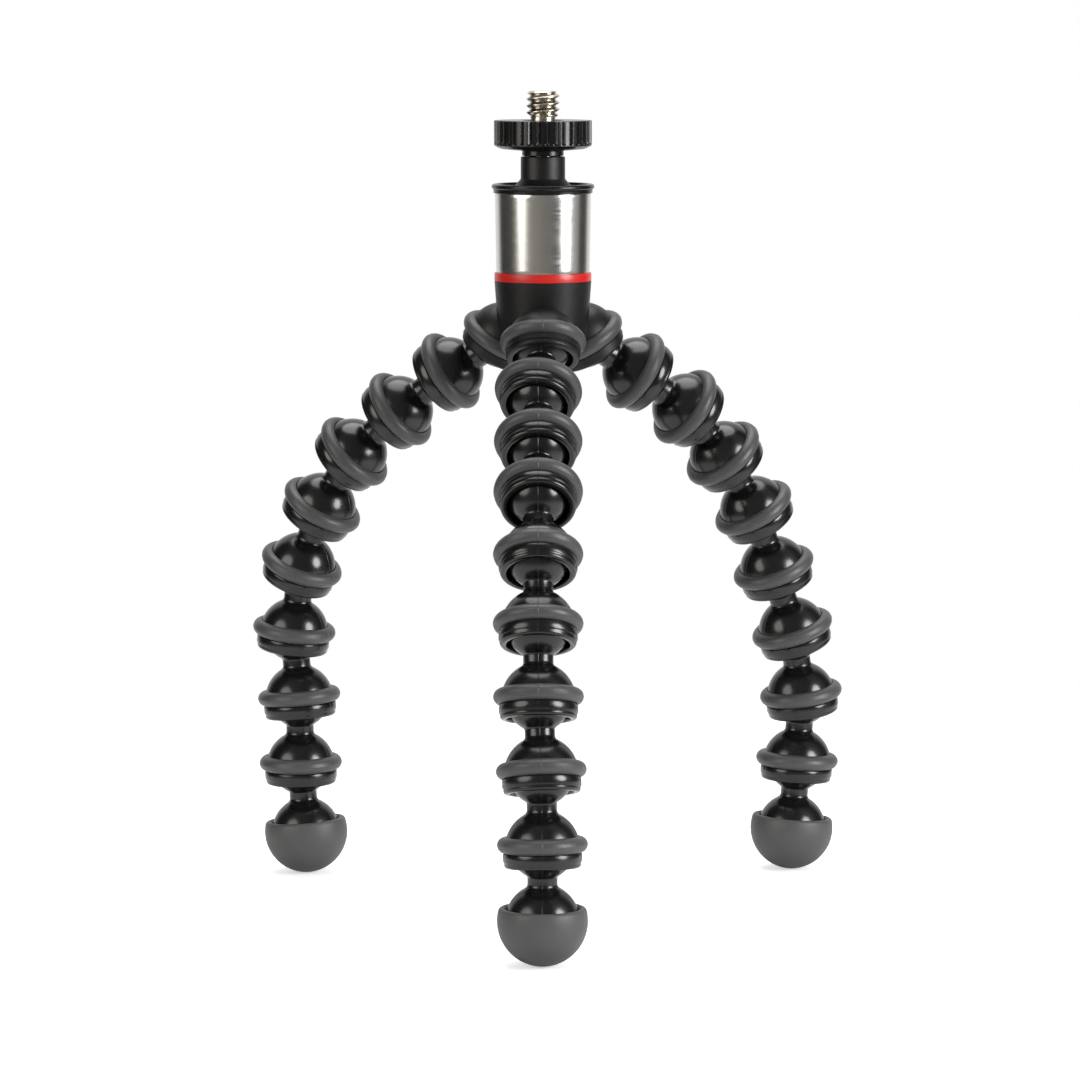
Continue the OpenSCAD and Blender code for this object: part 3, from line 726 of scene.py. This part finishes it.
@dataclass
class ThumbScrew:
    """Fluted wheel and camera screw, which turn together on the neck axis."""

    shop: Workshop
    wheel_r: float = 9.35
    flutes: int = 36
    flute_depth: float = 0.38
    flute_share: float = 0.52
    per_flute: int = 12
    thread_r: float = 3.175
    thread_depth: float = 0.78
    pitch: float = 1.27

    def build(self) -> None:
        """Builds and dresses the wheel and the screw; the hidden clip keeps its solid."""
        self.wheel()
        self.screw()
        self.shop.paint("retaining_clip", Workshop.SCREW_STEEL)

    def wheel(self) -> None:
        """Fluted wheel: r(a, z) = R - depth * groove(a) * fade(z), open at the top edge.

        The groove is a raised cosine over its share of each rib's step, and the fade falls to
        nothing over a short slope above the bevel, which leaves the small facets there.
        """
        low, high = Neck.span("thumb_wheel")
        wheel_low = high - 5.8
        m = self.flutes * self.per_flute
        phase = (np.arange(m) % self.per_flute) / self.per_flute - 0.5
        groove = np.where(np.abs(phase) < self.flute_share / 2,
                          0.5 + 0.5 * np.cos(2 * np.pi * phase / self.flute_share), 0.0) ** 0.7
        r, top, foot = self.wheel_r, high, wheel_low + 1.1
        bore, boss, seat = 2.05, 4.0, 3.55
        core = chain([bore, low], [3.85, low], [boss, low + 0.12], [boss, wheel_low - 0.06],
                     [4.08, wheel_low],
                     [r - 1.4, wheel_low + 0.35], [r - 1.0, wheel_low + 0.48], [r - 0.45, wheel_low + 0.75],
                     [r - 0.12, wheel_low + 0.96], [r - 0.02, wheel_low + 1.05], [r, foot])[::-1]
        wall_z = np.concatenate([[top - 0.14], np.linspace(top - 0.3, foot + 0.65, 8),
                                 np.linspace(foot + 0.5, foot + 0.08, 6)])
        rim = chain([bore, top - 1.4], [seat, top - 1.4], [seat, top - 0.5], [boss, top - 0.5],
                    [4.08, top - 0.42], [4.12, top - 0.06], [4.22, top], [r - 0.62, top],
                    [r - 0.16, top], [r - 0.05, top - 0.05])
        profile = np.concatenate([rim, np.stack([np.full(len(wall_z), r), wall_z], -1), core])
        fade = np.clip((profile[:, 1] - (foot + 0.05)) / 0.5, 0, 1)
        fade[:len(rim) - 2] = 0.0
        radius = profile[:, :1] - self.flute_depth * fade[:, None] * groove[None, :]
        height = np.repeat(profile[:, 1:], m, axis=1)
        piece = carry(radius, height, UPRIGHT, ring=True).to_object("wheel_moulding", 30.0)
        self.shop.dress(piece, Workshop.WHEEL_BLACK, "thumb_screw", "thumb_wheel")

    def screw(self) -> None:
        """Right-handed thread: r(a, z) = root + depth * tooth((z - z0) / pitch - a / 2 pi).

        The tooth is a clipped triangle. It grows out of the plain relief over half a turn, and a
        chamfer cuts it down to the root at the top. Collar and shank below are turned.
        """
        low, high = Neck.span("mounting_screw")
        wheel_top = Neck.span("thumb_wheel")[1]
        m, root = 96, self.thread_r - self.thread_depth
        z0, z1 = wheel_top + 0.2, high
        z = np.linspace(z1 - 0.02, z0, 150)
        turn = np.arange(m) / m
        wave = ((z[:, None] - z0) / self.pitch - turn[None, :]) % 1.0
        tooth = np.clip((1 - np.abs(2 * wave - 1)) * 1.18 - 0.04, 0, 1)
        start = np.clip((z[:, None] - (wheel_top + 0.6)) / 0.5, 0, 1)
        thread = root + self.thread_depth * tooth * start
        thread = np.minimum(thread, root + 0.12 + (z1 - z[:, None]) * 1.15)
        tip = chain([0.0, z1 - 0.12], [0.9, z1 - 0.1], [root - 0.5, z1 - 0.02], [root - 0.1, z1])
        collar, shank = 3.5, 2.0
        body = chain([root, wheel_top - 0.5], [collar, wheel_top - 0.5], [collar, wheel_top - 4.7],
                     [shank, wheel_top - 4.7], [shank, low + 0.2], [1.8, low], [0.0, low])
        radius = np.concatenate([np.repeat(tip[:, :1], m, 1), thread, np.repeat(body[:, :1], m, 1)])
        height = np.concatenate([np.repeat(tip[:, 1:], m, 1), np.repeat(z[:, None], m, 1),
                                 np.repeat(body[:, 1:], m, 1)])
        piece = carry(radius, height, UPRIGHT).to_object("screw_steel_piece", 45.0)
        self.shop.dress(piece, Workshop.SCREW_STEEL, "thumb_screw", "mounting_screw")


@dataclass(frozen=True)
class SoftBox:
    """One soft lamp: where it is, what it points at, its size in metres and its power in watts."""

    name: str
    at: tuple[float, float, float]
    towards: tuple[float, float, float]
    size: tuple[float, float]
    watts: float
    tint: tuple[float, float, float] = (1.0, 1.0, 1.0)

    def build(self) -> None:
        """Adds the lamp to the scene."""
        data = bpy.data.lights.new(self.name, "AREA")
        data.shape = "ELLIPSE"
        data.size, data.size_y = self.size
        data.energy = self.watts
        data.color = self.tint
        lamp = bpy.data.objects.new(self.name, data)
        lamp.location = self.at
        aim = np.array(self.towards) - np.array(self.at)
        flat = math.hypot(aim[0], aim[1])
        lamp.rotation_euler = (math.atan2(flat, -aim[2]), 0.0, math.atan2(-aim[0], aim[1]))
        bpy.context.scene.collection.objects.link(lamp)


@dataclass
class Studio:
    """Camera, lamps, surroundings and the pale floor."""

    SIDES: ClassVar[tuple[tuple[float, tuple[float, float, float]], ...]] = (
        (0.0, (0.95, 0.95, 0.95)), (0.1, (0.9, 0.9, 0.9)), (0.17, (0.05, 0.05, 0.05)),
        (0.27, (0.06, 0.06, 0.055)), (0.34, (0.3, 0.29, 0.27)), (0.46, (0.26, 0.25, 0.23)),
        (0.54, (0.2, 0.19, 0.18)), (0.6, (0.08, 0.08, 0.08)), (0.65, (0.35, 0.35, 0.35)),
        (0.75, (0.35, 0.35, 0.35)), (0.79, (0.07, 0.06, 0.05)), (0.84, (0.08, 0.07, 0.06)),
        (0.91, (0.9, 0.9, 0.9)), (1.0, (0.95, 0.95, 0.95)))
    camera_at: tuple[float, float, float] = (-0.00056, -0.8577, 0.17337)
    camera_down: float = 6.88
    lens: float = 149.1
    floor_lift: float = 0.5
    shadow_reach: tuple[float, float] = (0.14, 0.32)
    lamps: tuple[SoftBox, ...] = (
        SoftBox("soft_left", (-0.55, -0.42, 0.3), (0.0, 0.0, 0.07), (0.5, 0.5), 2.4, (1.0, 0.96, 0.9)),
        SoftBox("soft_right", (0.58, -0.36, 0.26), (0.0, 0.0, 0.07), (0.34, 0.42), 5.2),
        SoftBox("soft_top", (0.0, 0.15, 0.9), (0.0, 0.0, 0.0), (0.8, 0.8), 6.0),
    )

    def build(self) -> None:
        """Builds everything round the object."""
        scene = bpy.context.scene
        scene.view_settings.view_transform = "Standard"
        data = bpy.data.cameras.new("view_camera")
        data.lens = self.lens
        data.sensor_width = 36.0
        data.clip_start = 0.01
        camera = bpy.data.objects.new("view_camera", data)
        camera.location = self.camera_at
        camera.rotation_euler = (math.radians(90.0 - self.camera_down), 0.0, 0.0)
        scene.collection.objects.link(camera)
        scene.camera = camera
        for lamp in self.lamps:
            lamp.build()
        self.surround()
        self.floor()

    def surround(self) -> None:
        """White to the camera; to other rays, white behind the object with darker sides and front.

        The angle round the object, atan2(x, -y), runs through a ramp from the back past the left
        side, the front and the right side to the back again.
        """
        world = bpy.data.worlds.new("studio_surround")
        bpy.context.scene.world = world
        world.use_nodes = True
        tree = world.node_tree
        tree.nodes.clear()
        link = tree.links.new
        sink = tree.nodes.new("ShaderNodeOutputWorld")
        seen = tree.nodes.new("ShaderNodeBackground")
        seen.inputs["Strength"].default_value = 1.0
        seen.inputs["Color"].default_value = (1.0, 1.0, 1.0, 1.0)
        lit = tree.nodes.new("ShaderNodeBackground")
        lit.inputs["Strength"].default_value = 1.0
        where = tree.nodes.new("ShaderNodeTexCoord")
        split = tree.nodes.new("ShaderNodeSeparateXYZ")
        flip = tree.nodes.new("ShaderNodeMath")
        flip.operation = "MULTIPLY"
        flip.inputs[1].default_value = -1.0
        around = tree.nodes.new("ShaderNodeMath")
        around.operation = "ARCTAN2"
        share = tree.nodes.new("ShaderNodeMapRange")
        share.inputs["From Min"].default_value = -math.pi
        share.inputs["From Max"].default_value = math.pi
        ramp = tree.nodes.new("ShaderNodeValToRGB")
        ramp.color_ramp.interpolation = "EASE"
        stops = ramp.color_ramp.elements
        stops[0].position, stops[0].color = self.SIDES[0][0], (*self.SIDES[0][1], 1.0)
        stops[1].position, stops[1].color = self.SIDES[-1][0], (*self.SIDES[-1][1], 1.0)
        for position, shade in self.SIDES[1:-1]:
            stops.new(position).color = (*shade, 1.0)
        path = tree.nodes.new("ShaderNodeLightPath")
        mix = tree.nodes.new("ShaderNodeMixShader")
        link(where.outputs["Generated"], split.inputs[0])
        link(split.outputs["Y"], flip.inputs[0])
        link(split.outputs["X"], around.inputs[0])
        link(flip.outputs[0], around.inputs[1])
        link(around.outputs[0], share.inputs["Value"])
        link(share.outputs["Result"], ramp.inputs["Fac"])
        link(ramp.outputs["Color"], lit.inputs["Color"])
        link(path.outputs["Is Camera Ray"], mix.inputs[0])
        link(lit.outputs[0], mix.inputs[1])
        link(seen.outputs[0], mix.inputs[2])
        link(mix.outputs[0], sink.inputs["Surface"])

    def floor(self) -> None:
        """Pale round floor that takes shadow near the object.

        Further out only the camera sees it, as plain white, so that gloss shows the surroundings.
        """
        m, radii = 96, np.array([0.0, 0.06, 0.12, 0.2, 0.4, 0.9, 2.0]) / MM
        profile = np.stack([radii, np.zeros(len(radii))], -1)
        floor = turned(profile, UPRIGHT, m).to_object("studio_floor")
        material = bpy.data.materials.new("floor_paper")
        material.use_nodes = True
        tree = material.node_tree
        tree.nodes.clear()
        link = tree.links.new
        sink = tree.nodes.new("ShaderNodeOutputMaterial")
        paper = tree.nodes.new("ShaderNodeBsdfPrincipled")
        paper.inputs["Base Color"].default_value = (0.9, 0.9, 0.9, 1.0)
        paper.inputs["Roughness"].default_value = 0.7
        glow = tree.nodes.new("ShaderNodeEmission")
        glow.inputs["Color"].default_value = (1.0, 1.0, 1.0, 1.0)
        path = tree.nodes.new("ShaderNodeLightPath")
        lift = tree.nodes.new("ShaderNodeMath")
        lift.operation = "MULTIPLY"
        lift.inputs[1].default_value = self.floor_lift
        add = tree.nodes.new("ShaderNodeAddShader")
        far = tree.nodes.new("ShaderNodeEmission")
        far.inputs["Color"].default_value = (1.0, 1.0, 1.0, 1.0)
        far.inputs["Strength"].default_value = 1.0
        clear = tree.nodes.new("ShaderNodeBsdfTransparent")
        outer = tree.nodes.new("ShaderNodeMixShader")
        coords = tree.nodes.new("ShaderNodeTexCoord")
        reach = tree.nodes.new("ShaderNodeVectorMath")
        reach.operation = "LENGTH"
        edge = tree.nodes.new("ShaderNodeMapRange")
        edge.interpolation_type = "SMOOTHSTEP"
        edge.inputs["From Min"].default_value = self.shadow_reach[0]
        edge.inputs["From Max"].default_value = self.shadow_reach[1]
        mix = tree.nodes.new("ShaderNodeMixShader")
        link(path.outputs["Is Camera Ray"], lift.inputs[0])
        link(lift.outputs[0], glow.inputs["Strength"])
        link(paper.outputs[0], add.inputs[0])
        link(glow.outputs[0], add.inputs[1])
        link(coords.outputs["Object"], reach.inputs[0])
        link(reach.outputs["Value"], edge.inputs["Value"])
        link(edge.outputs["Result"], mix.inputs[0])
        link(add.outputs[0], mix.inputs[1])
        link(path.outputs["Is Camera Ray"], outer.inputs[0])
        link(clear.outputs[0], outer.inputs[1])
        link(far.outputs[0], outer.inputs[2])
        link(outer.outputs[0], mix.inputs[2])
        link(mix.outputs[0], sink.inputs["Surface"])
        floor.data.materials.append(material)


def main() -> None:
    """Builds the sub-assemblies in order."""
    logging.basicConfig(level=logging.INFO, format="%(name)s: %(message)s")
    shop = Workshop()
    Hub(shop).build()
    for leg, slope in ((Leg.LEFT, 95.0), (Leg.RIGHT, 95.0), (Leg.FRONT, 88.0)):
        LegChain(leg, shop, slope).build()
    Neck(shop).build()
    ThumbScrew(shop).build()
    Studio().build()


if __name__ == "__main__":
    main()
